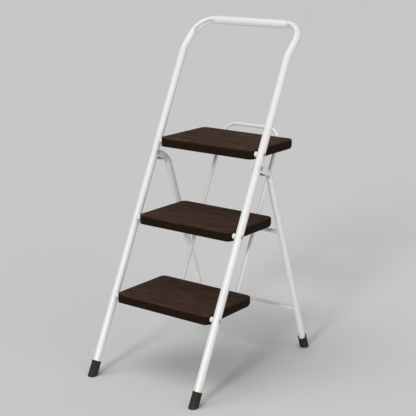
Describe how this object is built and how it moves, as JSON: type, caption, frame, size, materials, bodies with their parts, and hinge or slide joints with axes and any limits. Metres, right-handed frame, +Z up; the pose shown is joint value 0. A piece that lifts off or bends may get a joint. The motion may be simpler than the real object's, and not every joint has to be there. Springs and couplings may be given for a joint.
{
  "type": "folding step ladder",
  "caption": "Folding step ladder with three wide wood-grain treads, white tubular frames, a tall handle bow and a pull loop that folds the steps up.",
  "frame": {"origin": "on the floor, at the centre of the footprint of the open ladder", "axes": "+Z up, +Y from the front legs to the rear legs (the way the user faces), +X to the user's right"},
  "size_m": [0.4488, 0.6646, 1.1238],
  "materials": {
    "white_paint": "gloss off-white powder coat",
    "grip_plastic": "smooth white sleeve",
    "white_plastic": "satin white bushes",
    "wood_grain_tread": "satin dark brown wood-grain moulding",
    "dark_steel": "satin dark brown paint",
    "zinc_fasteners": "zinc plated",
    "foot_rubber": "matt dark brown"
  },
  "bodies": {
    "front_frame": {"front_leg_left": "white_paint", "front_leg_right": "white_paint", "handle_bow": "white_paint", "handle_grip": "grip_plastic", "front_foot_left": "foot_rubber", "front_foot_right": "foot_rubber", "step_bushes": "white_plastic", "step_pivot_rivets": "zinc_fasteners", "rear_pivot_rivets": "zinc_fasteners"},
    "top_step": {"tread_top": "wood_grain_tread", "step_pan_top": "dark_steel", "step_brackets_top": "dark_steel", "step_screws_top": "zinc_fasteners"},
    "middle_step": {"tread_middle": "wood_grain_tread", "step_pan_middle": "dark_steel", "step_brackets_middle": "dark_steel", "step_screws_middle": "zinc_fasteners"},
    "bottom_step": {"tread_bottom": "wood_grain_tread", "step_pan_bottom": "dark_steel", "step_brackets_bottom": "dark_steel", "step_screws_bottom": "zinc_fasteners"},
    "link_frame": {"link_bar_left": "white_paint", "link_bar_right": "white_paint", "pull_loop": "white_paint", "link_bar_plugs": "foot_rubber", "link_rivets": "zinc_fasteners", "latch_hooks": "white_paint"},
    "rear_frame": {"rear_leg_left": "white_paint", "rear_leg_right": "white_paint", "rear_fork_left": "white_paint", "rear_fork_right": "white_paint", "crossbar_low": "white_paint", "crossbar_middle": "white_paint", "rear_foot_left": "foot_rubber", "rear_foot_right": "foot_rubber"}
  },
  "joints": [
    {"name": "step_fold", "type": "hinge", "parent": "front_frame", "child": "top_step", "pos_m": [0, 0.03451, 0.7265], "axis": [1, 0, 0], "range_deg": [0, 64.3]},
    {"name": "middle_step_fold", "type": "hinge", "parent": "front_frame", "child": "middle_step", "pos_m": [0, -0.08099, 0.4865], "axis": [1, 0, 0], "range_deg": [0, 64.3]},
    {"name": "bottom_step_fold", "type": "hinge", "parent": "front_frame", "child": "bottom_step", "pos_m": [0, -0.1965, 0.2465], "axis": [1, 0, 0], "range_deg": [0, 64.3]},
    {"name": "link_swing", "type": "hinge", "parent": "top_step", "child": "link_frame", "pos_m": [0, 0.25721, 0.6995], "axis": [1, 0, 0], "range_deg": [-64.3, 0]},
    {"name": "rear_frame_fold", "type": "hinge", "parent": "front_frame", "child": "rear_frame", "pos_m": [0, 0.01574, 0.6875], "axis": [1, 0, 0], "range_deg": [-45.4, 0]}
  ],
  "couplings": [
    {"joint": "middle_step_fold", "follows": "step_fold", "ratio": 1},
    {"joint": "bottom_step_fold", "follows": "step_fold", "ratio": 1},
    {"joint": "link_swing", "follows": "step_fold", "ratio": -1},
    {"joint": "rear_frame_fold", "follows": "step_fold", "ratio": -0.706}
  ]
}
